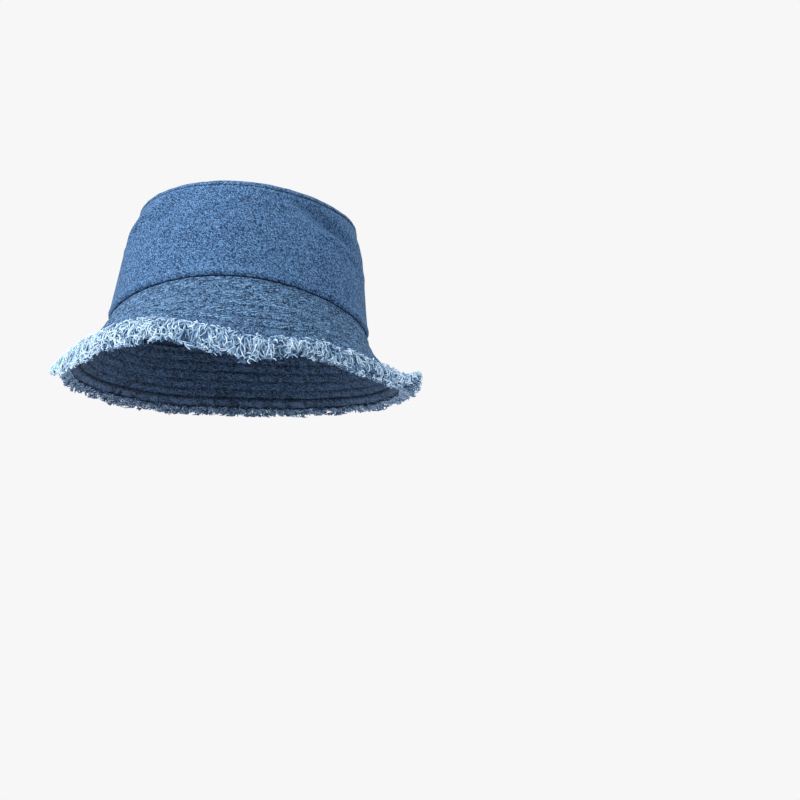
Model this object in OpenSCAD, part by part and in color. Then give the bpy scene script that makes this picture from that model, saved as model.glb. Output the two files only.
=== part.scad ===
// Frayed denim bucket hat, in millimetres. The origin is the middle of the head opening, at the seam
// between crown and brim. +Z points up through the crown, -Y to the wearer's front, and the side
// seams lie on the X axis. Azimuths are measured from +X towards +Y, in degrees.

/* [Head] */
// Girth of the head that the sweatband fits
head_girth = 560; // [520:5:620]
// Height of the sweatband
band_h = 32; // [20:1:40]
// Thickness of the sweatband
band_t = 1.0; // [0.6:0.1:2]

/* [Crown] */
// Height of the crown's flat top above the middle of the head opening
crown_h = 81; // [65:1:100]
// Radius of the crown at its top edge, outside
crown_top_r = 79; // [70:0.5:84]
// Rounding of the crown's top edge
crown_edge_r = 5; // [3:0.5:10]
// Thickness of the crown's denim
crown_t = 1.2; // [0.8:0.1:1.6]

/* [Brim] */
// Width of the brim's cloth along its slope, from the seam to the raw edge
brim_w = 47; // [38:1:65]
// Thickness of each of the brim's two denim layers
brim_t = 1.0; // [0.6:0.1:1.4]
// Thickness of the interlining between them
lining_t = 0.7; // [0.4:0.1:1.2]
// Mean slope of the brim below level
brim_slope = 58; // [40:1:62]
// How much steeper the brim hangs where it dips, and flatter a quarter turn on
brim_dip = 11; // [0:0.5:12]
// Azimuth of the dip, which repeats half a turn on
dip_azimuth = 46; // [0:1:179]
// Slope of the three soft waves along the edge
brim_wave = 5; // [0:0.5:6]
// Azimuth of one of the waves' steepest places
wave_azimuth = 30; // [0:1:119]
// Bend of the brim across its width: steeper at the seam and flatter at the edge by this
brim_curl = 5; // [1:0.5:8]
// Rise and fall of the head seam round the hat
seam_saddle = 6; // [0:0.5:8]
// Azimuth at which the head seam is highest
saddle_azimuth = 30; // [0:1:179]

/* [Brim edge] */
// Width of the denim strip sewn on each face along the raw edge
strip_w = 9; // [6:0.5:12]
// Thickness of the strip
strip_t = 0.8; // [0.5:0.1:1.2]
// Length of the frayed threads of the upper strip
fray_top = 11; // [6:0.5:16]
// Length of the frayed threads of the lower strip
fray_under = 7; // [4:0.5:10]
// Height that the upper frayed threads curl to above the brim
fray_curl = 5; // [2:0.5:8]
// Depth that the lower frayed threads sag to below the brim
fray_sag = 3.5; // [3:0.5:6]

/* [Sewing] */
// Distance between the stitch rows of the brim
row_pitch = 7; // [4:0.5:10]
// Distance from the head seam to the first row
first_row = 3.5; // [2:0.5:6]
// Distance from a strip's edges to its own rows
strip_row_inset = 1.0; // [0.8:0.1:2]
// Diameter of the sewing thread
thread_d = 0.6; // [0.3:0.1:0.8]
// Distance of the crown's topstitching below the top edge's rounding
crown_row_drop = 2; // [1:0.5:5]
// Height of the sweatband's stitch row above the head seam
band_row_h = 3; // [2:0.5:6]
// Width of the tape over the crown's top seam
crown_tape_w = 12; // [8:1:16]
// Width of the tapes over the side seams
side_tape_w = 12; // [8:1:16]
// Thickness of the tapes
tape_t = 0.6; // [0.3:0.1:1]

/* [Hidden] */

denim_light = "#5f8dbe";  // washed face of the crown
denim_mid = "#56779c";    // face of the brim
denim_dark = "#24344e";   // underside
fray_blue = "#9dbcdb";    // frayed threads
tape_navy = "#2c3a52";    // cotton tapes and sweatband
lining_white = "#e6e6e2"; // interlining
thread_blue = "#3d5f8c";  // sewing thread

steps = 48;       // facets once round the hat
gap = 0.05;       // clearance between cloth layers
overhang = 0.3;   // how far the crown stands proud of the brim at the head seam

// Crown wall: radii of its foot and its top edge, and the lean that makes it meet the rounding.
// A facet of the wall lies inside the round by facet_sag, which the finer side tapes keep clear of.
head_r = head_girth / (2 * PI);
facet_sag = 1.1 * head_r * (1 - cos(180 / steps));
tape_inset = crown_t + facet_sag + gap;
band_inset = tape_inset + tape_t + gap;
foot_r = head_r + band_t + band_inset;
flat_r = crown_top_r - crown_edge_r;
wall_lean = atan((foot_r - flat_r) / (crown_h - crown_edge_r))
          - asin(crown_edge_r / norm([foot_r - flat_r, crown_h - crown_edge_r]));
wall_top = [flat_r + crown_edge_r * cos(wall_lean), crown_h - crown_edge_r + crown_edge_r * sin(wall_lean)];

// Faces of the brim's layers, measured up from the top of the interlining
top_low = gap;
top_high = top_low + brim_t;
under_high = -lining_t - gap;
under_low = under_high - brim_t;
strip_top_low = top_high + gap;
strip_top_high = strip_top_low + strip_t;
strip_under_high = under_low - gap;
strip_under_low = strip_under_high - strip_t;
brim_r = foot_r - overhang - top_high;
strip_start = brim_w - strip_w;
seam_drop = band_inset * sin(wall_lean) + 2 * gap;  // keeps the brim under the foot of the wall

// Places across the brim: its stitch rows, and every bend that its layers share
row_count = floor((strip_start - first_row - row_pitch / 2) / row_pitch) + 1;
brim_rows = [for (i = [0:row_count - 1]) first_row + i * row_pitch];
strip_rows = [strip_start + strip_row_inset, brim_w - strip_row_inset];
strip_stops = [strip_start, each strip_rows, brim_w];
brim_stops = [0, each brim_rows, each strip_stops];

// Height of the head seam at azimuth a
function seam_z(a) = seam_saddle * cos(2 * (a - saddle_azimuth));

// Slope of the brim at azimuth a, halfway across
function slope(a) =
    brim_slope + brim_dip * cos(2 * (a - dip_azimuth)) + brim_wave * cos(3 * (a - wave_azimuth));

// Point [r, z] of the crown wall: u up from its foot as a share of its height, d in from its outer face
function wall(a, u, d) =
    let (inward = [-d * cos(wall_lean), -d * sin(wall_lean)])
    (1 - u) * [foot_r, seam_z(a)] + u * wall_top + inward;

// Height of the wall at azimuth a, along its slope
function wall_h(a) = norm(wall_top - [foot_r, seam_z(a)]);

// Point [r, z] of the brim: s out from the seam along the slope, t up from the top of the interlining
function brim(a, s, t) =
    let (start = slope(a) + brim_curl, bend = 2 * brim_curl / brim_w, now = start - bend * s,
         radius = 180 / (PI * bend),
         out = radius * (sin(start) - sin(now)), down = radius * (cos(now) - cos(start)),
         tip = min(1, s / first_row),
         up = t * [1 - tip + tip * sin(now), tip * cos(now)])
    [brim_r + out, seam_z(a) - seam_drop - down] + up;

// Outline of a brim layer through the places in stops, from t0 up to t1
function layer(a, stops, t0, t1) =
    [for (s = stops) brim(a, s, t1), for (i = [len(stops) - 1:-1:0]) brim(a, stops[i], t0)];

// Outline of a strip of cloth on the wall, from u0 to u1 above its foot and d0 to d1 deep, in mm
function lining(a, u0, u1, d0, d1) =
    [wall(a, u1 / wall_h(a), d0), wall(a, u1 / wall_h(a), d1),
     wall(a, u0 / wall_h(a), d1), wall(a, u0 / wall_h(a), d0)];

// Solid swept round the Z axis from azimuth a0 to a1 through the outlines that section(a) gives
module around(a0, a1, n, section) {
    closed = a1 - a0 >= 360;
    rings = closed ? n : n + 1;
    outlines = [for (i = [0:rings - 1]) let (a = a0 + (a1 - a0) * i / n)
                [for (p = section(a)) [p[0] * cos(a), p[0] * sin(a), p[1]]]];
    k = len(outlines[0]);
    sides = [for (i = [0:n - 1], j = [0:k - 1])
             let (here = i * k, there = (i + 1) % rings * k, next = (j + 1) % k)
             each [[here + j, there + next, there + j], [here + j, here + next, there + next]]];
    caps = closed ? [] : [[for (j = [k - 1:-1:0]) j], [for (j = [0:k - 1]) n * k + j]];
    polyhedron([for (o = outlines) each o], concat(sides, caps), convexity = 10);
}

// Half of the hat's circle: the front half runs below the X axis, the back half above it
module half(front, section) {
    joint = asin(gap / 2 / foot_r);
    start = front ? 180 : 0;
    around(start + joint, start + 180 - joint, steps / 2, section);
}

// Rings of thread along rows of the brim, with their lower side at low
module brim_threads(rows, low) {
    for (s = rows)
        around(0, 360, steps,
               function (a) layer(a, [s - thread_d / 2, s + thread_d / 2], low, low + thread_d));
}

module crown_side(front) {
    half(front, function (a) [wall(a, 1, 0), wall(a, 1, crown_t), wall(a, 0, crown_t), wall(a, 0, 0)]);
}

module brim_layer(front, low, high) {
    half(front, function (a) layer(a, brim_stops, low, high));
}

module edge_strip(low, high) {
    around(0, 360, steps, function (a) layer(a, strip_stops, low, high));
}

// Band of frayed threads past the raw edge: as thick as the cloth at its root, fuller in the middle and
// thin at its tips. The two bands part at a plane along the brim, floor_t.
module fringe(root, floor_t, reach, full) {
    outline = function (a) [
        brim(a, brim_w + gap, floor_t), brim(a, brim_w + gap, root), brim(a, brim_w + reach / 2, full),
        brim(a, brim_w + reach, full / 2), brim(a, brim_w + reach, floor_t)];
    around(0, 360, steps, function (a) root > floor_t ? outline(a) : [for (i = [4:-1:0]) outline(a)[i]]);
}

module side_tape(azimuth) {
    half_turn = asin(side_tape_w / 2 / foot_r);
    around(azimuth - half_turn, azimuth + half_turn, 4,
           function (a) lining(a, gap, wall_h(a) - crown_edge_r, tape_inset, tape_inset + tape_t));
}

// Two rows of thread down the inside of one side tape
module side_rows(azimuth) {
    depth = tape_inset + tape_t + gap;
    spread = asin(side_tape_w / 3 / foot_r);
    width = asin(thread_d / 2 / foot_r);
    for (a = [azimuth - spread, azimuth + spread])
        around(a - width, a + width, 1,
               function (b) lining(b, band_h + 4, wall_h(b) - crown_edge_r - crown_tape_w - gap,
                                   depth, depth + thread_d));
}

module crown_top() {
    arc_steps = 6;
    turn = 90 - wall_lean;
    edge = function (r) [for (i = [0:arc_steps]) let (a = 90 - turn * i / arc_steps)
                         [flat_r + r * cos(a), crown_h - crown_edge_r + r * sin(a)]];
    inner = edge(crown_edge_r - crown_t);
    color(denim_light) rotate_extrude()
        polygon(concat([[0, crown_h]], edge(crown_edge_r),
                       [for (i = [arc_steps:-1:0]) inner[i]], [[0, crown_h - crown_t]]));
}

module crown_side_front() { color(denim_light) crown_side(true); }
module crown_side_back() { color(denim_light) crown_side(false); }

module crown_seam_tape() {
    color(tape_navy) around(0, 360, steps,
        function (a) let (top = wall_h(a) - crown_edge_r)
        lining(a, top - crown_tape_w, top, band_inset, band_inset + tape_t));
}

module side_seam_tape_left() { color(tape_navy) side_tape(0); }
module side_seam_tape_right() { color(tape_navy) side_tape(180); }

module sweatband() {
    color(tape_navy) around(0, 360, steps,
        function (a) lining(a, gap, band_h, band_inset, band_inset + band_t));
}

module brim_top_front() { color(denim_mid) brim_layer(true, top_low, top_high); }
module brim_top_back() { color(denim_mid) brim_layer(false, top_low, top_high); }
module brim_under_front() { color(denim_dark) brim_layer(true, under_low, under_high); }
module brim_under_back() { color(denim_dark) brim_layer(false, under_low, under_high); }
module interlining_front() { color(lining_white) brim_layer(true, -lining_t, 0); }
module interlining_back() { color(lining_white) brim_layer(false, -lining_t, 0); }

module edge_strip_top() { color(denim_light) edge_strip(strip_top_low, strip_top_high); }
module edge_strip_under() { color(denim_mid) edge_strip(strip_under_low, strip_under_high); }
module fringe_top() { color(fray_blue) fringe(strip_top_high, 0, fray_top, fray_curl); }
module fringe_under() { color(fray_blue) fringe(strip_under_low, -lining_t / 2, fray_under, -fray_sag); }

module crown_stitching() {
    color(thread_blue) around(0, 360, steps,
        function (a) let (low = wall_h(a) - crown_row_drop - thread_d)
        lining(a, low, low + thread_d, -thread_d - gap, -gap));
}

module side_seam_stitching() {
    color(thread_blue) { side_rows(0); side_rows(180); }
}

module sweatband_stitching() {
    depth = band_inset + band_t + gap;
    color(thread_blue) around(0, 360, steps,
        function (a) lining(a, band_row_h, band_row_h + thread_d, depth, depth + thread_d));
}

module brim_stitching_top() { color(thread_blue) brim_threads(brim_rows, top_high + gap); }
module brim_stitching_under() { color(thread_blue) brim_threads(brim_rows, under_low - gap - thread_d); }
module strip_stitching_top() { color(thread_blue) brim_threads(strip_rows, strip_top_high + gap); }
module strip_stitching_under() {
    color(thread_blue) brim_threads(strip_rows, strip_under_low - gap - thread_d);
}

crown_top();
crown_side_front();
crown_side_back();
crown_seam_tape();
side_seam_tape_left();
side_seam_tape_right();
sweatband();
brim_top_front();
brim_top_back();
brim_under_front();
brim_under_back();
interlining_front();
interlining_back();
edge_strip_top();
edge_strip_under();
fringe_top();
fringe_under();
crown_stitching();
side_seam_stitching();
sweatband_stitching();
brim_stitching_top();
brim_stitching_under();
strip_stitching_top();
strip_stitching_under();
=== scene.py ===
"""Frayed denim bucket hat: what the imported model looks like.

Metres and radians. +Z is up through the crown, the origin is the middle of the head opening, the wearer
faces -Y and the side seams lie on the X axis. Azimuths run from +X towards +Y.
"""
import math
from collections import namedtuple

import bpy
import numpy as np
from mathutils import Matrix, Vector


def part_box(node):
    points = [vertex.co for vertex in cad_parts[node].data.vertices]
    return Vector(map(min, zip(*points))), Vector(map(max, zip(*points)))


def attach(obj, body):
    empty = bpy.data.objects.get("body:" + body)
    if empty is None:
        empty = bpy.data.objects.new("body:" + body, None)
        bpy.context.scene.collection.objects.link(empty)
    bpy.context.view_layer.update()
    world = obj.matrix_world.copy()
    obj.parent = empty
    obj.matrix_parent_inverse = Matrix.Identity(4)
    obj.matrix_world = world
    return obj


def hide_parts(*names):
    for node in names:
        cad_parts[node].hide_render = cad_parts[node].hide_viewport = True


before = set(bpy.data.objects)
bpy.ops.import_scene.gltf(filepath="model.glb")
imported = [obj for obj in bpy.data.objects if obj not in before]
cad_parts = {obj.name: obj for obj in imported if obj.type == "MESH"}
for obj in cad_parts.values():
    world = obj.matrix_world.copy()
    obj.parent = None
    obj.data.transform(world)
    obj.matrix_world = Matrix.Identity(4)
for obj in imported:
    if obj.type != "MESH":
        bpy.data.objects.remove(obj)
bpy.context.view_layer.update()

MM = 0.001
TURN = 2 * math.pi
DEG = math.pi / 180

# ---- sizes, as the CAD model has them
FOOT_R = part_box("crown_side_front")[1][0]  # crown's outer radius at the head seam
TOP_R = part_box("crown_top")[1][0]       # crown's outer radius at its top edge
TOP_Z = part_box("crown_top")[1][2]       # height of the crown's flat top
EDGE_R = 5 * MM                         # rounding of the top edge
CROWN_T = 1.2 * MM
BAND_H = 32 * MM
BAND_T = 1.0 * MM
TAPE_T = 0.6 * MM
TAPE_W = 12 * MM
TAPE_GAP = 0.25 * MM                    # between the crown's inner face and the side tapes
BAND_INSET = 2.2 * MM                   # sweatband's outer face, in from the crown's outer face
BRIM_W = 47 * MM
BRIM_T = 1.0 * MM
LINING_T = 0.7 * MM
STRIP_W = 9 * MM
STRIP_T = 0.8 * MM
FIRST_ROW = 3.5 * MM
ROW_PITCH = 7 * MM
STRIP_INSET = 1 * MM
STRIP_CUT = 10 * MM                     # width the edge strips were cut to, before they frayed
LAYER_GAP = 0.05 * MM
SEAM_DROP = 0.45 * MM                   # brim below the crown's lower edge
OVERHANG = 0.3 * MM                     # crown proud of the brim at the head seam

STRIP_START = BRIM_W - STRIP_W
TOP_FACE = LAYER_GAP + BRIM_T           # heights of the brim's faces above its interlining
UNDER_FACE = -LINING_T - LAYER_GAP - BRIM_T
STRIP_TOP = TOP_FACE + LAYER_GAP + STRIP_T
STRIP_UNDER = UNDER_FACE - LAYER_GAP - STRIP_T
BRIM_R = FOOT_R - OVERHANG - TOP_FACE
ROWS = [FIRST_ROW + i * ROW_PITCH for i in range(math.ceil((STRIP_START - FIRST_ROW) / ROW_PITCH))]
STRIP_ROWS = [STRIP_START + STRIP_INSET, BRIM_W - STRIP_INSET]

SADDLE, SADDLE_AT = 6 * MM, 30 * DEG    # rise of the head seam and where it is highest
SLOPE = 58 * DEG                        # mean fall of the brim below level
DIP, DIP_AT = 11 * DEG, 46 * DEG
WAVE, WAVE_AT = 5 * DEG, 30 * DEG
CURL = 6 * DEG                          # the brim is this much steeper at its seam, flatter outside
RAW_EDGE_R = BRIM_R + 30 * MM           # radius of the raw edge, near enough for lengths round it
EDGE_CIRCLE = BRIM_R + (BRIM_W - STRIP_W / 2) * math.cos(SLOPE)  # radius of the edge strips' middle line
SHARP = 55 * DEG                        # a mesh edge that bends more than this is drawn as a corner

# ---- how the cloth lies
VIEW_AT = 210 * DEG                     # azimuth that faces the camera
CROWN_TILT = 1.3 * DEG                  # the crown's top falls to the camera's right
# Places round the hat, in the tables below, are in degrees from the camera, positive to its right
FLICKS = [  # where the brim's edge turns up: place, spread, extra curl in degrees
    (98, 30, 24),
    (-88, 38, 11),
]
SAGS = [  # where the brim's edge hangs lower: place, spread, drop in mm
    (8, 18, 6.8),
    (172, 40, -1.6),
    (-66, 15, 2.6),
]
BULGE_AT = [0, 2, 8, 20, 42, 60, 70, 78, 95]  # mm above the head seam
BULGE = [0.8, 1.6, 2.2, 2.8, 4.4, 4.6, 3.2, 0.6, 0.0]  # how far the crown bulges there, in mm


def turn_from(a, centre):
    """Signed angle from centre to a, within half a turn."""
    return (a - centre + math.pi) % TURN - math.pi


def bell(x, width):
    return np.exp(-((x / width) ** 2))


def seen(degrees):
    """Azimuth of a place so many degrees round from the camera."""
    return VIEW_AT + degrees * DEG


def hill(a, at, spread):
    """A bell round the hat: 1 at so many degrees from the camera, with its spread in degrees."""
    return bell(turn_from(a, seen(at)), spread * DEG)


def polar(r, a, z):
    return np.stack(np.broadcast_arrays(r * np.cos(a), r * np.sin(a), z), -1)


def pairs(x, y):
    return np.stack(np.broadcast_arrays(x, y), -1)


class Noise:
    """Smooth value noise from -1 to 1 on a seeded table. wrap is the number of cells once round."""

    def __init__(self, seed):
        self.table = np.random.RandomState(seed).uniform(-1, 1, (256, 256))

    def __call__(self, x, y, wrap=256):
        x, y = np.broadcast_arrays(np.asarray(x, float), np.asarray(y, float))
        ix, iy = np.floor(x).astype(int), np.floor(y).astype(int)
        fx, fy = x - ix, y - iy
        fx, fy = fx * fx * (3 - 2 * fx), fy * fy * (3 - 2 * fy)
        t = self.table
        x0, x1, y0, y1 = ix % wrap % 256, (ix + 1) % wrap % 256, iy % 256, (iy + 1) % 256
        low = t[x0, y0] * (1 - fx) + t[x1, y0] * fx
        high = t[x0, y1] * (1 - fx) + t[x1, y1] * fx
        return low * (1 - fy) + high * fy


def round_noise(seed, cells):
    """Noise round the hat: f(a, y) with that many cells once round."""
    noise = Noise(seed)
    return lambda a, y: noise(np.asarray(a) % TURN / TURN * cells, y, cells)


def seam_z(a):
    return SADDLE * np.cos(2 * (a - SADDLE_AT))


edge_sway = round_noise(3, 13)


def slope_and_bend(a):
    """The brim's fall below level at the head seam, and how fast it flattens outwards."""
    slope = SLOPE + DIP * np.cos(2 * (a - DIP_AT)) + WAVE * np.cos(3 * (a - WAVE_AT))
    curl = CURL + sum(extra * DEG * hill(a, at, spread) for at, spread, extra in FLICKS)
    return np.minimum(slope + curl, 89 * DEG), 2 * curl / BRIM_W


def brim(a, s, t):
    """Point of the brim at azimuth a, s out from the head seam along the slope, t above the interlining."""
    a, s, t = np.broadcast_arrays(a, s, t)
    start, bend = slope_and_bend(a)
    now = start - bend * s
    out = (np.sin(start) - np.sin(now)) / bend
    down = (np.cos(now) - np.cos(start)) / bend
    tip = np.clip(s / FIRST_ROW, 0, 1)
    r = BRIM_R + out + t * (1 - tip + tip * np.sin(now))
    share = np.clip(s, 0, None) / BRIM_W
    sway = 1.6 * MM * edge_sway(a, 0.5) * share ** 2
    sway = sway - sum(drop * MM * hill(a, at, spread) for at, spread, drop in SAGS) * share ** 1.5
    z = seam_z(a) - SEAM_DROP - down + t * tip * np.cos(now) + sway
    return polar(r, a, z)


# Crown wall: it leans in so that it meets the rounding of the top edge
FLAT_R = TOP_R - EDGE_R
LEAN = (math.atan2(FOOT_R - FLAT_R, TOP_Z - EDGE_R)
        - math.asin(EDGE_R / math.hypot(FOOT_R - FLAT_R, TOP_Z - EDGE_R)))
WALL_TOP = (FLAT_R + EDGE_R * math.cos(LEAN), TOP_Z - EDGE_R + EDGE_R * math.sin(LEAN))

crown_sway = round_noise(11, 11)
crown_sway_small = round_noise(12, 29)
edge_pucker = round_noise(13, 90)
DENTS = [  # place, spread round in degrees, distance below the top, spread down, height outwards in mm
    (48, 32, 24, 12, -1.6),
    (170, 34, 26, 14, -3.0),
    (-128, 22, 44, 16, 1.4),
    (-12, 20, 40, 18, 0.9),
]
CREASES = [  # (place, mm below the top) of each end, half width and height in mm
    ((20, 10), (80, 35), 6.5, -5.8),
    ((26, 27), (86, 43), 5.5, 3.0),
    ((-34, 8), (-74, 37), 3.8, 3.4),
    ((-22, 10), (-52, 40), 5.0, -2.6),
    ((140, 10), (112, 52), 4.5, 1.6),
    ((-150, 50), (-118, 22), 4.5, 1.5),
    ((-170, 12), (-140, 38), 6.0, -1.8),
]


def soften(p):
    """Crown points as the soft cloth lies: the top tilts, the shoulders dent and a few creases run down."""
    x, y, z = p[..., 0], p[..., 1], p[..., 2]
    r, a = np.hypot(x, y), np.arctan2(y, x)
    below = TOP_Z - z
    near_wall = np.clip(r / TOP_R - 0.55, 0, 0.3) / 0.3
    push = np.zeros_like(r)
    for at, wide, depth, tall, amount in DENTS:
        push += amount * MM * hill(a, at, wide) * bell(below - depth * MM, tall * MM)
    for (at0, depth0), (at1, depth1), width, height in CREASES:
        along = np.array([turn_from(seen(at1), seen(at0)) * TOP_R, depth1 * MM - depth0 * MM])
        px, py = turn_from(a, seen(at0)) * TOP_R, below - depth0 * MM
        share = np.clip((px * along[0] + py * along[1]) / (along ** 2).sum(), 0, 1)
        away = np.hypot(px - share * along[0], py - share * along[1])
        push += height * MM * bell(away, width * MM) * np.sin(math.pi * np.clip(share, 0.08, 0.92))
    push += 1.1 * MM * crown_sway(a, z / (45 * MM)) + 0.35 * MM * crown_sway_small(a, z / (18 * MM) + 9)
    push *= np.clip((z - seam_z(a)) / (12 * MM), 0, 1)
    push += np.interp((z - seam_z(a)) / MM, BULGE_AT, BULGE) * MM * (0.85 + 0.2 * crown_sway(a, 21.5))
    push *= near_wall
    high = np.clip(z / TOP_Z, 0, 1.1)
    right = np.cos(turn_from(a, VIEW_AT + math.pi / 2)) * r
    sunk = 1.6 * MM * crown_sway(a, 7.5) * r / TOP_R - 2.2 * MM
    sag = (1.5 * MM * np.cos(2 * turn_from(a, VIEW_AT)) * (r / TOP_R) ** 2
           + sunk * (1 - np.clip(r / TOP_R, 0, 1) ** 2) - 2.2 * MM)
    lift = high ** 2 * (-math.tan(CROWN_TILT) * right + sag)
    shift = high * 2.0 * MM
    scale = 1 + push / np.maximum(r, 1 * MM)
    side = np.array([math.cos(VIEW_AT + math.pi / 2), math.sin(VIEW_AT + math.pi / 2)])
    return np.stack([x * scale + side[0] * shift, y * scale + side[1] * shift, z + lift], -1)


def wall(a, h, d):
    """Point of the crown's wall: h up its slope from the head seam, d in from its outer face."""
    a, h, d = np.broadcast_arrays(a, h, d)
    foot_z = seam_z(a)
    length = np.hypot(FOOT_R - WALL_TOP[0], WALL_TOP[1] - foot_z)
    share = h / length
    r = FOOT_R + (WALL_TOP[0] - FOOT_R) * share - d * math.cos(LEAN)
    z = foot_z + (WALL_TOP[1] - foot_z) * share - d * math.sin(LEAN)
    return polar(r, a, z)


def wall_length(a):
    return np.hypot(FOOT_R - WALL_TOP[0], WALL_TOP[1] - seam_z(a))


# ---- meshes
def mesh_object(name, points, quads, tris=None, materials=(), face_material=None, corner_uv=None, **floats):
    """An object from arrays. corner_uv holds one place for each corner of the quads; floats are per point."""
    tris = np.zeros((0, 3), int) if tris is None else tris
    mesh = bpy.data.meshes.new(name)
    mesh.vertices.add(len(points))
    mesh.vertices.foreach_set("co", np.ascontiguousarray(points, np.float32).ravel())
    mesh.loops.add(quads.size + tris.size)
    mesh.loops.foreach_set("vertex_index", np.concatenate([quads.ravel(), tris.ravel()]).astype(np.int32))
    starts = np.concatenate([np.arange(len(quads)) * 4, quads.size + np.arange(len(tris)) * 3])
    mesh.polygons.add(len(starts))
    mesh.polygons.foreach_set("loop_start", starts.astype(np.int32))
    for m in materials:
        mesh.materials.append(m)
    if face_material is not None:
        mesh.polygons.foreach_set("material_index", face_material.astype(np.int32))
    if corner_uv is not None:
        layer = mesh.uv_layers.new(name="weave")
        layer.uv.foreach_set("vector", np.ascontiguousarray(corner_uv, np.float32).ravel())
    mesh.update(calc_edges=True)
    mesh.polygons.foreach_set("use_smooth", np.ones(len(starts), bool))
    for key, values in floats.items():
        layer = mesh.attributes.new(key, "FLOAT", "POINT")
        layer.data.foreach_set("value", np.asarray(values, np.float32).ravel())
    piece = bpy.data.objects.new(name, mesh)
    bpy.context.collection.objects.link(piece)
    return piece


def net(nu, nv, spans):
    """Quads of a body between two grids [round, across]: outer face, inner face, first edge, last edge, ends.

    spans is nu where the grids close round the hat, and then there are no ends.
    """
    i, j = (m.ravel() for m in np.meshgrid(np.arange(spans), np.arange(nv - 1), indexing="ij"))
    i2 = (i + 1) % nu
    k = np.arange(spans)
    k2 = (k + 1) % nu
    m, last = np.arange(nv - 1), nu - 1
    at = lambda u, v, side: side * nu * nv + u * nv + v
    parts = [(at(i, j, 0), at(i2, j, 0), at(i2, j + 1, 0), at(i, j + 1, 0)),
             (at(i, j, 1), at(i, j + 1, 1), at(i2, j + 1, 1), at(i2, j, 1)),
             (at(k, 0, 0), at(k, 0, 1), at(k2, 0, 1), at(k2, 0, 0)),
             (at(k, nv - 1, 0), at(k2, nv - 1, 0), at(k2, nv - 1, 1), at(k, nv - 1, 1))]
    if spans < nu:
        parts.append((at(0, m, 0), at(0, m + 1, 0), at(0, m + 1, 1), at(0, m, 1)))
        parts.append((at(last, m, 0), at(last, m, 1), at(last, m + 1, 1), at(last, m + 1, 0)))
    return [np.stack(part, 1) for part in parts]


INNER_SHIFT = [0.3, 1.2]                # mm that the weave of a cloth's inner face is offset by


def shell(name, outer, inner, uv, materials, closed=False, ridge=None, rows=None, seam=0.0):
    """A thin closed body between two grids of points, [round, across]. closed joins its ends round the hat.

    materials are the outer face's and the inner face's. uv holds the cloth's own coordinates in mm. rows,
    when given, are (mm round, mm out) grids that follow the stitched rows. seam is the ridge value
    inside the first edge; below -1.1 it paints that edge dark, as painted shade.
    """
    nu, nv = outer.shape[:2]
    parts = net(nu, nv, nu if closed else nu - 1)
    over, under = parts[:2]
    quads = np.concatenate(parts)
    points = np.concatenate([outer.reshape(-1, 3), inner.reshape(-1, 3)])
    corner_uv = np.concatenate([uv.reshape(-1, 2), uv.reshape(-1, 2) - INNER_SHIFT])[quads]
    if closed:  # the last span's far corners carry on past the first column
        step = uv[1, 0, 0] - uv[0, 0, 0]
        u = corner_uv[..., 0]
        wrapped = (u.max(1) - u.min(1)) > abs(step) * 4
        row = u[wrapped]
        u[wrapped] = np.where(row < row.mean(1, keepdims=True), row + abs(step) * nu, row)
    a, b, c, d = (points[quads[:, corner]] for corner in range(4))
    if (a * np.cross(b, c)).sum() + (a * np.cross(c, d)).sum() < 0:
        quads, corner_uv = quads[:, ::-1], corner_uv[:, ::-1]
    index = np.zeros(len(quads), int)
    index[len(over):len(over) + len(under)] = 1
    floats = {"ridge": np.zeros((nu, nv)) if ridge is None else ridge}
    if rows is not None:
        floats["row_x"], floats["row_y"] = np.broadcast_arrays(*rows)
    for key, grid in floats.items():
        floats[key] = np.concatenate([grid.ravel(), grid.ravel() * (key != "ridge")])
    # The inner corners of the first edge take seam: a value below -1.1 paints that edge dark, as painted
    # shade.
    floats["ridge"][nu * nv::nv] = seam
    piece = mesh_object(name, points, quads, None, materials, index, corner_uv, **floats)
    piece.data.set_sharp_from_angle(angle=SHARP)
    return piece


TUBE_SIDES = 5


def tubes(name, paths, radius, material, tone):
    """Closed tubes along paths [tube, place, xyz], with a tone each. radius is [tube, place] or a number."""
    sides = TUBE_SIDES
    n, k = paths.shape[:2]
    radius = np.broadcast_to(radius, (n, k))
    forward = np.gradient(paths, axis=1)
    forward /= np.linalg.norm(forward, axis=2, keepdims=True) + 1e-12
    helper = np.where(np.abs(forward[:, :1, 2:]) < 0.8, [[[0, 0, 1.0]]], [[[1.0, 0, 0]]])
    side = np.cross(forward[:, 0], helper[:, 0])
    rings = []
    for i in range(k):  # carry the side direction along each tube without twist
        side = side - forward[:, i] * (side * forward[:, i]).sum(1, keepdims=True)
        side /= np.linalg.norm(side, axis=1, keepdims=True) + 1e-12
        up = np.cross(forward[:, i], side)
        angle = np.arange(sides) * TURN / sides
        ring = side[:, None] * np.cos(angle)[None, :, None] + up[:, None] * np.sin(angle)[None, :, None]
        rings.append(paths[:, i, None] + ring * radius[:, i, None, None])
    body = np.stack(rings, 1)
    points = np.concatenate([body.reshape(n, k * sides, 3), paths[:, :1], paths[:, -1:]], 1)
    per = k * sides + 2
    i, j = np.meshgrid(np.arange(k - 1), np.arange(sides), indexing="ij")
    i, j, j2 = i.ravel(), j.ravel(), (j.ravel() + 1) % sides
    quad = np.stack([i * sides + j, i * sides + j2, (i + 1) * sides + j2, (i + 1) * sides + j], 1)
    m, m2 = np.arange(sides), (np.arange(sides) + 1) % sides
    end = (k - 1) * sides
    tri = np.concatenate([np.stack([m2, m, m * 0 + k * sides], 1),
                          np.stack([end + m, end + m2, m * 0 + k * sides + 1], 1)])
    base = (np.arange(n) * per)[:, None, None]
    along = np.concatenate([np.repeat(np.linspace(0, 1, k), sides), [0, 1]])
    return mesh_object(name, points.reshape(-1, 3), (quad + base).reshape(-1, 4), (tri + base).reshape(-1, 3),
                       [material], along=np.tile(along, n), tone=np.repeat(tone, per))


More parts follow.
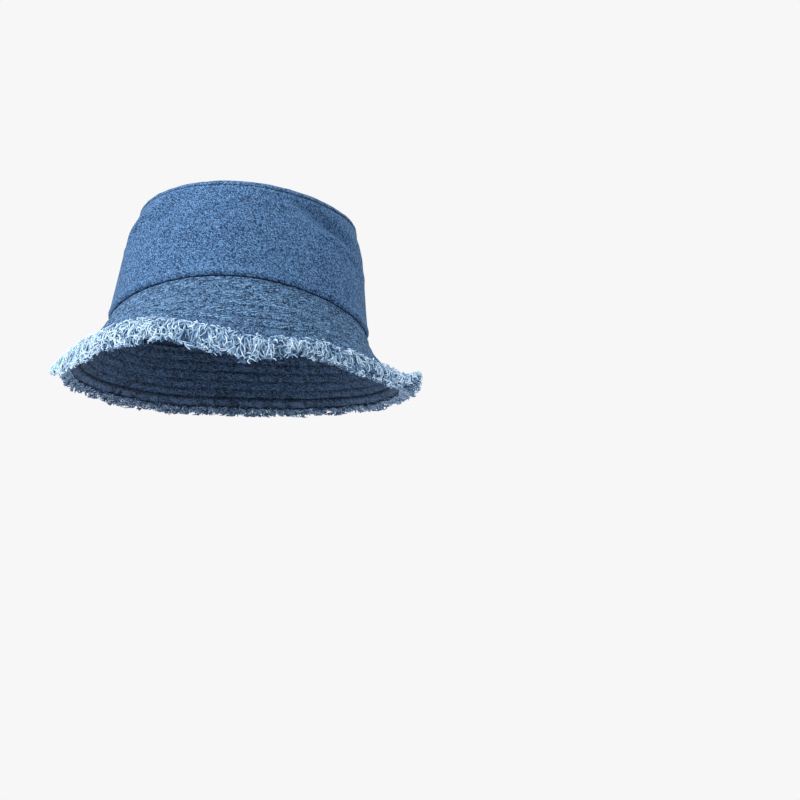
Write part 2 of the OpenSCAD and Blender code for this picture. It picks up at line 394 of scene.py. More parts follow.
# ---- materials
class Nodes:
    """Short calls for building a node material."""

    def __init__(self, name):
        self.material = bpy.data.materials.new(name)
        self.material.use_nodes = True
        self.tree = self.material.node_tree
        self.tree.nodes.clear()
        self.out = self.tree.nodes.new("ShaderNodeOutputMaterial")
        self.shader = self.tree.nodes.new("ShaderNodeBsdfPrincipled")
        self.link(self.shader.outputs[0], self.out.inputs[0])

    def link(self, a, b):
        self.tree.links.new(a, b)

    def node(self, kind, **inputs):
        made = self.tree.nodes.new(kind)
        for key, value in inputs.items():
            self.put(made.inputs[key.replace("_", " ")], value)
        return made

    def put(self, socket, value):
        if isinstance(value, bpy.types.NodeSocket):
            self.link(value, socket)
        else:
            socket.default_value = value

    def math(self, kind, a, b=0.0, clamp=False):
        made = self.tree.nodes.new("ShaderNodeMath")
        made.operation = kind
        made.use_clamp = clamp
        self.put(made.inputs[0], a)
        self.put(made.inputs[1], b)
        return made.outputs[0]

    def add(self, a, b, clamp=False):
        return self.math("ADD", a, b, clamp)

    def less(self, a, b):
        return self.math("SUBTRACT", a, b)

    def mul(self, a, b, clamp=False):
        return self.math("MULTIPLY", a, b, clamp)

    def spread(self, value, low, high, to_low=0.0, to_high=1.0):
        made = self.node("ShaderNodeMapRange", Value=value)
        for key, number in (("From Min", low), ("From Max", high), ("To Min", to_low), ("To Max", to_high)):
            made.inputs[key].default_value = number
        return made.outputs[0]

    def noise(self, where, scale, detail=2.0, rough=0.5):
        made = self.node("ShaderNodeTexNoise", Vector=where, Scale=scale, Detail=detail, Roughness=rough)
        return made.outputs[0]

    def cells(self, x, y, across, along, stagger=0.37):
        """A random value for each cell of a brickwork grid, so many cells to the millimetre each way."""
        column = self.math("FLOOR", self.mul(x, across))
        place = self.add(self.mul(y, along), self.mul(column, stagger))
        row = self.math("FLOOR", place)
        made = self.tree.nodes.new("ShaderNodeTexWhiteNoise")
        made.noise_dimensions = "2D"
        self.put(made.inputs["Vector"], self.node("ShaderNodeCombineXYZ", X=column, Y=row).outputs[0])
        return made.outputs["Value"]

    def stretched(self, where, x, y, z=1.0):
        made = self.node("ShaderNodeMapping", Vector=where)
        made.inputs["Scale"].default_value = (x, y, z)
        return made.outputs[0]

    def mix(self, share, a, b):
        made = self.tree.nodes.new("ShaderNodeMix")
        made.data_type = "RGBA"
        self.put(made.inputs[0], share)
        for socket, value in ((made.inputs[6], a), (made.inputs[7], b)):
            self.put(socket, (*value, 1) if isinstance(value, tuple) else value)
        return made.outputs[2]

    def number(self, name):
        made = self.tree.nodes.new("ShaderNodeAttribute")
        made.attribute_name = name
        return made.outputs["Fac"]

    def weave(self):
        made = self.tree.nodes.new("ShaderNodeUVMap")
        made.uv_map = "weave"
        return made.outputs[0]

    def place(self):
        return self.tree.nodes.new("ShaderNodeTexCoord").outputs["Object"]

    def finish(self, colour, height, bump_mm, roughness, sheen=0.0, tint=(1, 1, 1)):
        self.put(self.shader.inputs["Base Color"], colour)
        self.put(self.shader.inputs["Roughness"], roughness)
        self.shader.inputs["Specular IOR Level"].default_value = 0.22
        self.shader.inputs["Sheen Weight"].default_value = sheen
        self.shader.inputs["Sheen Roughness"].default_value = 0.55
        self.shader.inputs["Sheen Tint"].default_value = (*tint, 1)
        if height is not None:
            bump = self.node("ShaderNodeBump", Height=height)
            bump.inputs["Strength"].default_value = 1.0
            bump.inputs["Distance"].default_value = bump_mm * MM
            self.put(self.shader.inputs["Normal"], bump.outputs[0])
        return self.material


RIB_MM, WARP_MM = 1.5, 0.7              # pitch of the twill's ribs and of the warp yarns
DENIM_BUMP = 0.2                        # mm


def denim(name, dark, light, weft, grain=1.0, flecks=0.5, cloud=0.5, ridges=0.3, lean=1.0, rows=0.0):
    """Washed denim twill. The pattern runs in the cloth's own coordinates, in mm.

    dark and light are the warp's deep and faded tones, weft the pale yarn that shows between them. grain,
    flecks, cloud and ridges say how much the tone follows the yarn, the specks, the slow wash and the
    ridge attribute: paler worn ridges, darker low places and the painted shade lines at seams.
    lean is 1 or -1, the way the twill slants. rows is how much of the wear runs in short streaks
    along the stitched rows.
    """
    n = Nodes(name)
    weave = n.weave()
    x, y, _ = n.node("ShaderNodeSeparateXYZ", Vector=weave).outputs
    about = lambda value, gain: n.mul(n.less(value, 0.5), gain)
    wander = n.noise(n.stretched(weave, 0.25, 0.12), 1.0, 2)
    diagonal = n.add(n.add(x, n.mul(y, lean)), n.mul(wander, 2.5))
    rib = n.math("SINE", n.mul(diagonal, TURN / RIB_MM))
    warp = n.math("SINE", n.mul(x, TURN / WARP_MM))
    slub = n.noise(n.stretched(weave, 1.5, 0.2), 1.0, 2, 0.6)
    speck = n.noise(n.stretched(weave, 1.25, 1.05), 1.0, 1, 0.5)
    bent_x = n.add(x, n.mul(wander, 1.5))
    pick = n.cells(bent_x, y, 1.95, 1.7)
    twill_x = n.add(n.mul(bent_x, 0.5), n.mul(y, 0.86 * lean))
    twill_y = n.less(n.mul(bent_x, 0.86), n.mul(y, 0.5 * lean))
    twill = n.cells(twill_x, twill_y, 2.1, 0.8)
    wash = n.noise(n.place(), 26.0, 3, 0.6)
    patch = n.noise(n.place(), 120.0, 2, 0.6)
    tone = 0.42
    for part in (about(slub, 0.65 * grain), about(n.spread(speck, 0.34, 0.66), 0.10 * grain),
                 about(pick, 1.15 * grain), about(twill, 1.05 * grain),
                 n.mul(rib, 0.10 * grain), about(wash, 0.7 * cloud), about(patch, 0.9 * cloud)):
        tone = n.add(tone, part)
    fleck = speck
    if rows:
        lap = n.node("ShaderNodeCombineXYZ", X=n.number("row_x"), Y=n.number("row_y")).outputs[0]
        streak = n.noise(n.stretched(lap, 0.30, 1.15), 1.0, 1, 0.5)
        dash = n.cells(n.number("row_y"), n.number("row_x"), 1.25, 0.36)
        block = n.noise(n.stretched(lap, 0.26, 0.30), 1.0, 0, 0.5)
        for part in (about(n.spread(streak, 0.34, 0.66), 0.24 * rows), about(dash, 0.30 * rows),
                     about(block, 1.2 * rows)):
            tone = n.add(tone, part)
        fleck = n.math("MAXIMUM", speck, n.add(streak, 0.02))
    # ridge: the cloth's rise, so worn ridges are paler and low places darker, plus painted shade lines at
    # seams and grooves.
    ridge = n.number("ridge")
    tone = n.add(tone, n.mul(n.math("MAXIMUM", ridge, -1.0), ridges), clamp=True)
    body = n.mix(tone, dark, light)
    pale = n.mul(n.spread(fleck, 0.50, 0.70), n.spread(tone, 0.35, 1.0))
    colour = n.mix(n.mul(pale, flecks, clamp=True), body, weft)
    # Below -1.1 ridge mixes to a near-black copy of dark: painted shade in seam gaps and grooves.
    colour = n.mix(n.spread(ridge, -1.1, -2.2), colour, tuple(0.22 * v for v in dark))
    height = n.add(n.mul(rib, 0.35), n.mul(warp, 0.15))
    height = n.add(n.add(height, n.mul(speck, 1.6)), n.mul(slub, 0.8))
    rough = n.spread(tone, 0.0, 1.0, 0.82, 0.95)
    return n.finish(colour, height, DENIM_BUMP, rough, 0.1, light)


def yarn(name, deep, mid, pale, sheen=0.15):
    """Loose cotton yarn: tone changes from thread to thread and pales towards the tips."""
    n = Nodes(name)
    twist = n.noise(n.place(), 1400.0, 2, 0.6)
    along, tone = n.number("along"), n.number("tone")
    share = n.add(tone, n.mul(n.less(along, 0.45), 0.35))
    share = n.add(share, n.mul(n.less(twist, 0.5), 0.5), clamp=True)
    low = n.mix(n.spread(share, 0.0, 0.5), deep, mid)
    colour = n.mix(n.spread(share, 0.45, 1.0), low, pale)
    return n.finish(colour, twist, 0.12, n.spread(twist, 0, 1, 0.8, 0.95), sheen, pale)


def tape_cloth(name, dark, light, pitch):
    """Narrow woven tape or band: a herringbone of fine ribs that turns over every few millimetres."""
    n = Nodes(name)
    weave = n.weave()
    x, y, _ = n.node("ShaderNodeSeparateXYZ", Vector=weave).outputs
    zigzag = n.math("PINGPONG", y, pitch * 4)
    rib = n.math("SINE", n.mul(n.add(x, zigzag), TURN / pitch))
    grain = n.noise(n.stretched(weave, 1.2, 1.2), 1.0, 3, 0.6)
    wash = n.noise(n.place(), 30.0, 2, 0.5)
    tone = n.add(n.mul(rib, 0.22), n.mul(grain, 0.7))
    tone = n.add(tone, n.mul(wash, 0.3), clamp=True)
    height = n.add(n.mul(rib, 0.6), n.mul(grain, 0.8))
    return n.finish(n.mix(tone, dark, light), height, 0.12, n.spread(grain, 0, 1, 0.78, 0.92), 0.1, light)


def felt(name, dark, light):
    """Matte non-woven interlining."""
    n = Nodes(name)
    fibre = n.noise(n.stretched(n.place(), 900, 900, 300), 1.0, 4, 0.7)
    return n.finish(n.mix(fibre, dark, light), fibre, 0.1, n.spread(fibre, 0, 1, 0.85, 1.0))


CROWN_DENIM = denim("crown_denim", (0.003, 0.022, 0.072), (0.067, 0.166, 0.335), (0.25, 0.40, 0.60),
                    grain=1.5, flecks=0.7, cloud=0.3, ridges=0.16)
BRIM_DENIM = denim("brim_denim", (0.002, 0.012, 0.038), (0.040, 0.111, 0.236), (0.215, 0.375, 0.56),
                   grain=1.35, flecks=1.0, cloud=0.4, ridges=0.30, rows=1.4)
# Navy cloth of the brim's underside, painted darker than the top as painted shade for the underside.
UNDER_DENIM_SHADED = denim("under_denim_shaded", (0.001, 0.005, 0.016), (0.030, 0.066, 0.142), (0.11, 0.18, 0.29),
                    grain=1.3, flecks=0.6, cloud=0.3, ridges=0.40, rows=1.0)
STRIP_DENIM = denim("strip_denim", (0.003, 0.015, 0.046), (0.052, 0.132, 0.264), (0.26, 0.40, 0.58),
                    grain=1.5, flecks=0.9, cloud=0.5, ridges=0.35)
# Navy cloth of the under edge strip, painted darker as painted shade under the brim.
STRIP_UNDER_DENIM_SHADED = denim("strip_under_denim_shaded", (0.003, 0.008, 0.022), (0.064, 0.112, 0.205),
                          (0.14, 0.21, 0.32), grain=1.3, flecks=0.4, cloud=0.6, ridges=0.55)
REVERSE_DENIM = denim("denim_reverse", (0.060, 0.100, 0.180), (0.260, 0.340, 0.450), (0.52, 0.58, 0.66),
                      grain=1.0, flecks=0.6, cloud=0.3, ridges=0.2, lean=-1.0)
FRAY = yarn("frayed_cotton", (0.012, 0.046, 0.125), (0.150, 0.285, 0.465), (0.560, 0.715, 0.850))
# Frayed cotton of the under-fringe: a darker copy of the top's, as painted shade under the brim.
FRAY_SHADED = yarn("frayed_cotton_under_shaded", (0.010, 0.028, 0.075), (0.060, 0.120, 0.230), (0.260, 0.360, 0.500))
THREAD = yarn("stitch_thread", (0.030, 0.080, 0.180), (0.070, 0.160, 0.310), (0.130, 0.250, 0.430), 0.1)
# Stitch thread for rows under the brim and on and in the crown: a near-black copy of the top's, as painted
# shade.
THREAD_SHADED = yarn("stitch_thread_shaded", (0.004, 0.010, 0.028), (0.012, 0.026, 0.062), (0.050, 0.090, 0.170),
                   0.1)
BAND_CLOTH = tape_cloth("sweatband_twill", (0.012, 0.022, 0.050), (0.045, 0.075, 0.140), 1.1)
TAPE_CLOTH = tape_cloth("cotton_tape", (0.016, 0.028, 0.060), (0.055, 0.090, 0.160), 0.8)
LINING_FELT = felt("interlining_felt", (0.55, 0.55, 0.53), (0.80, 0.80, 0.78))

PIECES = {}                             # CAD node: the pieces that stand for it


def stand_for(piece, node, slot):
    """Declares which body a piece rides on and the CAD node it stands for. slot is not used."""
    PIECES.setdefault(node, []).append(piece)
    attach(piece, "root")
    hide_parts(node)


# ---- brim
HALVES = {"front": (math.pi, TURN), "back": (0.0, math.pi)}
SEAM_GAP = 0.04 * MM / FOOT_R           # half the gap between two panels at a side seam
CHANNELS = np.array([0.0, *ROWS, STRIP_START])


class Quilting:
    """Rise of a stitched face of the brim: channels swell between the rows and pucker across them."""

    def __init__(self, seed, swell, pucker):
        self.cells = round_noise(seed, 128)
        self.small = round_noise(seed + 1, 251)
        self.slow = round_noise(seed + 2, 23)
        self.swell, self.pucker = swell, pucker

    def __call__(self, a, s):
        a, s = np.broadcast_arrays(a, s)
        k = np.clip(np.searchsorted(CHANNELS, s, side="right") - 1, 0, len(CHANNELS) - 2)
        width = CHANNELS[k + 1] - CHANNELS[k]
        share = np.clip((s - CHANNELS[k]) / width, 0, 1)
        hump = np.sin(math.pi * share) ** 0.6
        shear = a + 0.012 * share
        rough = 0.75 + 0.5 * self.slow(a, k * 3.1)
        cell = self.cells(shear, k * 5.3 + share * 0.9) + 0.45 * self.small(shear, k * 4.1 + share * 1.6)
        rise = hump * (self.swell + self.pucker * rough * cell)
        for row in CHANNELS[1:]:
            depth = (0.36 * MM if row < STRIP_START else 0.62 * MM) * (1 + 0.5 * self.slow(a, row / MM))
            rise = rise - depth * bell(s - row, 0.8 * MM)
        return rise


def side_ridge(a, s, height, width):
    """The seam allowance pressed to one side of each radial seam shows as a low raised band."""
    rise = 0.0
    for at in (0.0, math.pi):
        away = turn_from(a, at) * (BRIM_R + s)
        rise = rise + height * bell(away - width * 0.7, width * 0.6) - 0.2 * MM * bell(away, 0.6 * MM)
    return rise


QUILT_TOP = Quilting(21, 0.30 * MM, 0.50 * MM)
QUILT_UNDER = Quilting(31, 0.40 * MM, 0.62 * MM)


def strip_rise(seed, a, s):
    """Rise of an edge strip: a full band between its two rows, with slanted ridges across it."""
    share = np.clip((s - STRIP_ROWS[0]) / (STRIP_ROWS[1] - STRIP_ROWS[0]), 0, 1)
    hump = np.sin(math.pi * share) ** 0.7
    noise, small = round_noise(seed, 250), round_noise(seed + 1, 97)
    shear = a + 0.026 * share
    rise = hump * (0.55 * MM + 0.6 * MM * noise(shear, share * 0.4) + 0.2 * MM * small(shear, 4 + share))
    edge = np.clip((s - STRIP_START) / (0.7 * MM), 0, 1)
    rise = rise - 0.45 * MM * (1 - edge) ** 2
    for row in STRIP_ROWS:
        rise = rise - 0.26 * MM * bell(s - row, 0.6 * MM)
    return rise


def places_across(start, end, step):
    """Evenly spaced places, enough for one every step."""
    return np.linspace(start, end, int(round((end - start) / step)) + 1)


def cone_cloth(a, s, middle):
    """Flat coordinates, in mm, of a panel cut as part of a ring: the grain keeps one direction in the cut."""
    reach = (BRIM_R / math.cos(SLOPE) + s) / MM
    angle = (a - middle) * math.cos(SLOPE)
    return pairs(reach * np.sin(angle), -reach * np.cos(angle))


def brim_panel(half, upper):
    start, end = HALVES[half]
    a = np.linspace(start + SEAM_GAP, end - SEAM_GAP, 340)[:, None]
    s = places_across(0.0, BRIM_W, 0.75 * MM)[None, :]
    quilt = QUILT_TOP if upper else QUILT_UNDER
    rise = quilt(a, np.minimum(s, STRIP_START)) * (s <= STRIP_START) + side_ridge(a, s, 0.3 * MM, 4 * MM)
    rise = np.where(s > STRIP_START, -0.1 * MM, rise)
    if upper:
        outer, inner = brim(a, s, TOP_FACE + rise), brim(a, s, LAYER_GAP)
        cloth, node = BRIM_DENIM, f"brim_top_{half}"
    else:
        outer, inner = brim(a, s, UNDER_FACE - rise), brim(a, s, -LINING_T - LAYER_GAP)
        cloth, node = UNDER_DENIM_SHADED, f"brim_under_{half}"
    uv = cone_cloth(a, s, (start + end) / 2)
    # The cloth's rise pales worn ridges; a painted shade line runs along the head seam, and fainter painted
    # shade where the edge strip's edge lies on the brim.
    ridge = np.clip(rise / (0.6 * MM), -1, 1) - 2.2 * bell(s, 0.7 * MM)
    ridge = ridge - 0.6 * bell(s - STRIP_START, 0.8 * MM)
    piece = shell(node, outer, inner, uv, [cloth, REVERSE_DENIM], ridge=np.broadcast_to(ridge, rise.shape),
                  rows=(a * (BRIM_R + s) / MM, s / MM))
    stand_for(piece, node, "denim_brim" if upper else "denim_under")


def brim_lining(half):
    start, end = HALVES[half]
    a = np.linspace(start + SEAM_GAP, end - SEAM_GAP, 150)[:, None]
    s = places_across(0.6 * MM, BRIM_W - 1 * MM, 2 * MM)[None, :]
    node = f"interlining_{half}"
    piece = shell(node, brim(a, s, 0.0), brim(a, s, -LINING_T), cone_cloth(a, s, (start + end) / 2),
                  [LINING_FELT, LINING_FELT])
    stand_for(piece, node, "interlining")


def edge_strip(upper):
    a = (np.arange(900) * TURN / 900)[:, None]
    s = places_across(STRIP_START + 0.2 * MM, BRIM_W + 0.4 * MM, 0.6 * MM)[None, :]
    rise = strip_rise(41 if upper else 51, a, s)
    if upper:
        outer, inner = brim(a, s, STRIP_TOP + rise), brim(a, s, TOP_FACE + LAYER_GAP)
        cloth, node, slot = STRIP_DENIM, "edge_strip_top", "denim_strip"
    else:
        outer, inner = brim(a, s, STRIP_UNDER - rise), brim(a, s, UNDER_FACE - LAYER_GAP)
        cloth, node, slot = STRIP_UNDER_DENIM_SHADED, "edge_strip_under", "denim_strip_under"
    uv = pairs(a * RAW_EDGE_R / MM, s / MM)
    # The strip's rise pales worn ridges; its inner edge, where it lies on the brim, is painted darker as
    # painted shade.
    ridge = np.clip((rise - 0.3 * MM) / (0.5 * MM), -1, 1) - 0.6 * bell(s - STRIP_START, 0.7 * MM)
    piece = shell(node, outer, inner, uv, [cloth, REVERSE_DENIM], closed=True,
                  ridge=np.broadcast_to(ridge, (len(a), s.shape[1])))
    stand_for(piece, node, slot)


STITCH, STITCH_GAP = 3.0 * MM, 0.5 * MM
STITCH_LIFT, STITCH_DIVE = 0.22 * MM, 0.18 * MM  # how high a stitch stands, and how deep its ends go in
STITCH_WANDER = 0.12 * MM               # how far a stitch's ends stray across its row
THREAD_R = 0.27 * MM
THREAD_OFF = 0.25 * MM                  # how far a row inside the crown stands off its cloth


def stitch_row(place, length_round, seed):
    """Paths of the stitches of one row. place(x, off, up) gives points at x round the row, off across it."""
    count = int(length_round / (STITCH + STITCH_GAP))
    rng = np.random.RandomState(seed)
    start = np.arange(count) / count * length_round + rng.uniform(-0.1, 0.1, count) * MM
    share = np.linspace(0, 1, 6)
    x = start[:, None] + share[None] * STITCH * rng.uniform(0.94, 1.02, (count, 1))
    up = STITCH_LIFT * np.sin(math.pi * share) ** 0.5 - STITCH_DIVE * (1 - np.sin(math.pi * share) ** 0.4)
    tilt = rng.uniform(-1, 1, (count, 1)) * STITCH_WANDER
    return place(x, tilt * (share[None] - 0.5) * 2, up[None] + 0 * x)


def brim_rows(rows, face, quilt, seed, inward=False):
    """Stitches of several rows on one face of the brim."""
    made = []
    sign = -1 if inward else 1
    for i, row in enumerate(rows):
        radius = np.hypot(*brim(VIEW_AT, row, 0.0)[:2])
        def place(x, off, up):
            a = x / radius
            return brim(a, row + off, face + sign * (quilt(a, row + 0 * a) + up))
        made.append(stitch_row(place, TURN * radius, seed + i))
    return np.concatenate(made)


def stitches(node, paths, material):
    tone = np.random.RandomState(len(paths)).uniform(0.25, 0.75, len(paths))
    stand_for(tubes(node, paths, THREAD_R, material, tone), node, "sewing_thread")


for half in HALVES:
    brim_panel(half, True)
    brim_panel(half, False)
    brim_lining(half)
edge_strip(True)
edge_strip(False)
stitches("brim_stitching_top", brim_rows(ROWS, TOP_FACE, QUILT_TOP, 60), THREAD)
stitches("brim_stitching_under", brim_rows(ROWS, UNDER_FACE, QUILT_UNDER, 70, True), THREAD_SHADED)
stitches("strip_stitching_top",
         brim_rows(STRIP_ROWS, STRIP_TOP, lambda a, s: strip_rise(41, a, s), 80), THREAD)
stitches("strip_stitching_under",
         brim_rows(STRIP_ROWS, STRIP_UNDER, lambda a, s: strip_rise(51, a, s), 90, True), THREAD_SHADED)


# ---- frayed threads
DROOP_OVER = 7 * MM                     # length over which the mat of threads bends down
FLICK_LIFT = 8 * MM                     # rise of the mat where the brim's right edge turns up
mat_lumps = round_noise(61, 47)
mat_waves = round_noise(62, 19)
mat_tufts = round_noise(63, 128)

# How far the mat hangs past the raw edge, in mm, by degrees from the camera
HANG_AT_TOP = [-180, -130, -92, -74, -56, -30, -12, 8, 22, 38, 52, 74, 90, 130, 180]
HANG_TOP = [5, 7, 7.5, 13, 18, 18, 15.5, 14, 12, 10, 13, 13, 10.5, 7, 5]
HANG_AT_UNDER = [-180, -140, -105, -75, -40, 180]
HANG_UNDER = [5, 5.5, 7, 6, 5, 4.8]


def mat_length(a, upper):
    """How far the frayed mat hangs past the raw edge: longest facing the camera, short at the far side."""
    side = np.degrees(turn_from(a, VIEW_AT))
    lumps = 1 + 0.20 * mat_lumps(a, 0.5 if upper else 9.5) + 0.12 * mat_waves(a, 3.5)
    lumps = lumps + 0.2 * mat_tufts(a, 5.5)
    hang = np.interp(side, HANG_AT_TOP, HANG_TOP) if upper else np.interp(side, HANG_AT_UNDER, HANG_UNDER)
    return (hang + 2.5 * hill(a, 96, 14) * upper) * MM * lumps


def mat_point(a, q, w, upper):
    """Point of the mat: q out past the raw edge and w above it. It leaves along the brim, then hangs."""
    start, bend = slope_and_bend(a)
    towards = np.interp(np.degrees(np.abs(turn_from(a, VIEW_AT))), [0, 65, 85, 180], [0.9, 0.9, 0.3, 0.45])
    droop = np.maximum((math.pi / 2 - start + bend * BRIM_W) * towards, 0.02)
    lift = FLICK_LIFT * hill(a, 88, 13) * upper
    kappa = droop / DROOP_OVER
    past = np.clip(q, 0, None)
    bent = np.minimum(past, DROOP_OVER)
    bend = kappa * bent
    s = BRIM_W + np.minimum(q, 0) + np.sin(bend) / kappa + (past - bent) * np.cos(droop)
    down = (1 - np.cos(bend)) / kappa + (past - bent) * np.sin(droop)
    if upper:
        t = STRIP_TOP + w * np.cos(bend) - down + lift * np.clip(past / FLICK_LIFT, 0, 1)
        s = s + w * np.sin(bend)
    else:
        t = STRIP_UNDER - w - 0.6 * down
    return brim(a, s, t)


# How much paler or, below nought, darker the threads are, by degrees from the camera. Under the lifted mat on
# the right the under-fringe is made paler: painted light against the shade that falls there.
TONE_SHIFT_AT = [-180, -110, -84, -40, -10, 60, 78, 96, 125, 180]
TONE_SHIFT_TOP = [-0.05, 0.0, 0.12, 0.12, -0.10, -0.10, 0.08, 0.26, 0.0, -0.05]
UNDER_SHIFT_AND_LIGHT = [0.0, 0.05, 0.15, 0.1, 0.1, 0.2, 0.45, 0.45, 0.1, 0.0]

# Threads of one layer: how many to the mm round, their mean length, their heading's spread, how far their
# heading turns in all, the depth of their mat, whether they start at the raw edge or anywhere in the mat, and
# their tone and radius
Layer = namedtuple("Layer", "per_mm length heading turning thick rooted tone radius")
PLACES = 9                              # points along a thread
CLUMP = 5                               # threads that lie alike
FULL_HANG = 14 * MM                     # hang of the mat at which threads have their full length
ALL_KEPT = 15 * MM                      # hang at which no thread is left out; a short mat is sparser
SPARSE_BELOW = 9 * MM


def frayed(rng, count, a0, a1, upper, layer):
    """Paths, depths and tone shifts of a layer's threads from azimuth a0 to a1.

    Threads come in clumps that lie alike, and each one's heading keeps turning, so that it loops over its
    neighbours.
    """
    clump = np.sort(rng.randint(0, max(1, count // CLUMP), count))
    clumps = clump.max() + 1
    shared = rng.uniform(-1, 1, (clumps, 5))[clump]
    own = rng.uniform(-1, 1, (count, 5))
    a = a0 + (a1 - a0) * (clump + 0.5) / clumps + 1.3 * MM * own[:, 0] / RAW_EDGE_R
    hang = mat_length(a, upper)
    climb = 5.4 - 5.6 * hill(a, 12, 24) + 1.3 * mat_tufts(a, 17.5)
    low = -climb * MM if upper else np.full(count, -1.5 * MM)
    yaw = layer.heading * (0.7 * shared[:, 0] + 0.5 * own[:, 2])
    reach = layer.length * (1 + 0.35 * own[:, 3])
    if layer.rooted:
        q = rng.uniform(-1.6, 0.4, count) * MM
        reach = reach * np.clip(hang / FULL_HANG, 0.5, 1.3)
    else:
        q = low + (hang - low) * np.clip(0.48 + 0.46 * shared[:, 3] + 0.10 * own[:, 1], 0, 0.95)
        yaw = np.where(shared[:, 4] < -0.3, yaw + math.pi, yaw)
    turn = layer.turning * (0.6 * shared[:, 2] + 0.6 * own[:, 4])
    phase, beat = rng.uniform(0, TURN, (2, count)), rng.uniform(0.7, 1.6, (2, count))
    depth = layer.thick * rng.uniform(0, 1, count)
    step = reach / (PLACES - 1)
    x = np.zeros(count)
    path = []
    for i in range(PLACES):
        share = i / (PLACES - 1)
        arch = 0.7 * MM * np.sin(math.pi * share) * (depth / layer.thick)
        w = depth + arch + 0.3 * MM * np.sin(TURN * beat[1] * share + phase[1])
        path.append((x.copy(), q.copy(), w))
        yaw = yaw + (turn + layer.turning * 0.6 * np.sin(TURN * beat[0] * share + phase[0])) / PLACES
        yaw = yaw + 0.16 * rng.normal(0, 1, count)
        x, q = x + step * np.sin(yaw), q + step * np.cos(yaw)
    x, q, w = (np.stack(v, 1) for v in zip(*path))
    middle, half = ((hang + low) / 2)[:, None], ((hang - low) / 2)[:, None]
    q = middle + half * np.tanh(1.15 * (q - middle) / half) / 0.86  # eased in between its limits
    keep = rng.uniform(0, 1, count) < (hang + SPARSE_BELOW) / (ALL_KEPT + SPARSE_BELOW)
    paths = mat_point(a[:, None] + x / RAW_EDGE_R, q, np.maximum(w, 0) + 0.4 * MM, upper)
    # Tone shift by place; for the under-fringe under the lifted mat it is painted light.
    shift_and_light = np.interp(np.degrees(turn_from(a, VIEW_AT)), TONE_SHIFT_AT, TONE_SHIFT_TOP if upper else UNDER_SHIFT_AND_LIGHT)
    return paths[keep], depth[keep] / layer.thick, shift_and_light[keep]


def fringe(node, slot, parts, upper, material, layers):
    """A fringe in sectors round the hat, each of several layers of threads."""
    for part in range(parts):
        a0, a1 = part * TURN / parts, (part + 1) * TURN / parts
        rng = np.random.RandomState((100 if upper else 200) + part)
        paths, tones, radii = [], [], []
        for layer in layers:
            count = int(TURN * RAW_EDGE_R / MM / parts * layer.per_mm)
            made, depth, shift_and_light = frayed(rng, count, a0, a1, upper, layer)
            paths.append(made)
            # Threads deep in the mat are painted darker and those on top paler, as painted shade within the
            # mat, plus each place's tone shift.
            mean = layer.tone + (0.85 if upper else 0.3) * (depth - 0.5) + shift_and_light
            tones.append(np.clip(mean + 0.22 * rng.normal(0, 1, len(made)), 0, 1))
            radii.append(layer.radius * rng.uniform(0.8, 1.15, len(made)))
        paths, tones, radii = (np.concatenate(v) for v in (paths, tones, radii))
        taper = 1 - 0.3 * np.linspace(0, 1, paths.shape[1]) ** 4
        piece = tubes(f"{node}_{part + 1}", paths, radii[:, None] * taper[None], material, tones)
        stand_for(piece, node, slot)


fringe("fringe_top", "frayed_threads", 4, True, FRAY, [
    Layer(2.3, 11 * MM, 1.4, 2.2, 1.2 * MM, True, 0.34, 0.40 * MM),
    Layer(5.2, 5.4 * MM, 2.0, 2.2, 2.2 * MM, False, 0.45, 0.40 * MM),
    Layer(3.4, 4.8 * MM, 2.9, 3.4, 3.0 * MM, False, 0.54, 0.38 * MM),
])
fringe("fringe_under", "frayed_threads", 2, False, FRAY_SHADED, [
    Layer(3.6, 5 * MM, 1.2, 2.0, 1.6 * MM, True, 0.42, 0.42 * MM),
    Layer(6.0, 4.2 * MM, 2.2, 2.4, 1.8 * MM, False, 0.50, 0.42 * MM),
])


# ---- crown
SEAM_AT = 50 * DEG                      # where in the top edge's rounding the two panels meet, up from level
ROUND_STEPS = 9
TOP_STITCH_AT = 1.2 * MM                # topstitching below the upper end of the crown's wall


def top_groove(a, below):
    """How deep the pressed seam under the top edge sits, from 0 to 1: most where the edge is pulled down."""
    return (0.35 + 0.65 * hill(a, 50, 34)) * bell(below - TOP_STITCH_AT, 0.95 * MM)


def wall_rise(a, h, length):
    """Rise of the crown's outer face: rolled foot, turned-in allowance under the top seam, side seams."""
    rolled = 0.9 * MM * bell(h - 3.2 * MM, 2.6 * MM) - 0.15 * MM * bell(h, 0.7 * MM)
    below = length - h
    allowance = 0.45 * MM / (1 + np.exp((below - 5.2 * MM) / (0.5 * MM)))
    pucker = 0.22 * MM * edge_pucker(a, 0.3 + below / (9 * MM)) * bell(below - 1.5 * MM, 4 * MM)
    groove = -0.6 * MM * top_groove(a, below)
    foot_pucker = 0.16 * MM * edge_pucker(a, 40.3 + h / (8 * MM)) * bell(h - 3 * MM, 5 * MM)
    seams = 0.0
    for at in (0.0, math.pi):
        away = turn_from(a, at) * (FOOT_R + TOP_R) / 2
        seams = seams + 0.30 * MM / (1 + np.exp((np.abs(away - 3.2 * MM) - 3.0 * MM) / (0.4 * MM)))
        seams = seams - 0.3 * MM * bell(away, 0.5 * MM)
    return rolled + allowance + pucker + groove + foot_pucker + seams


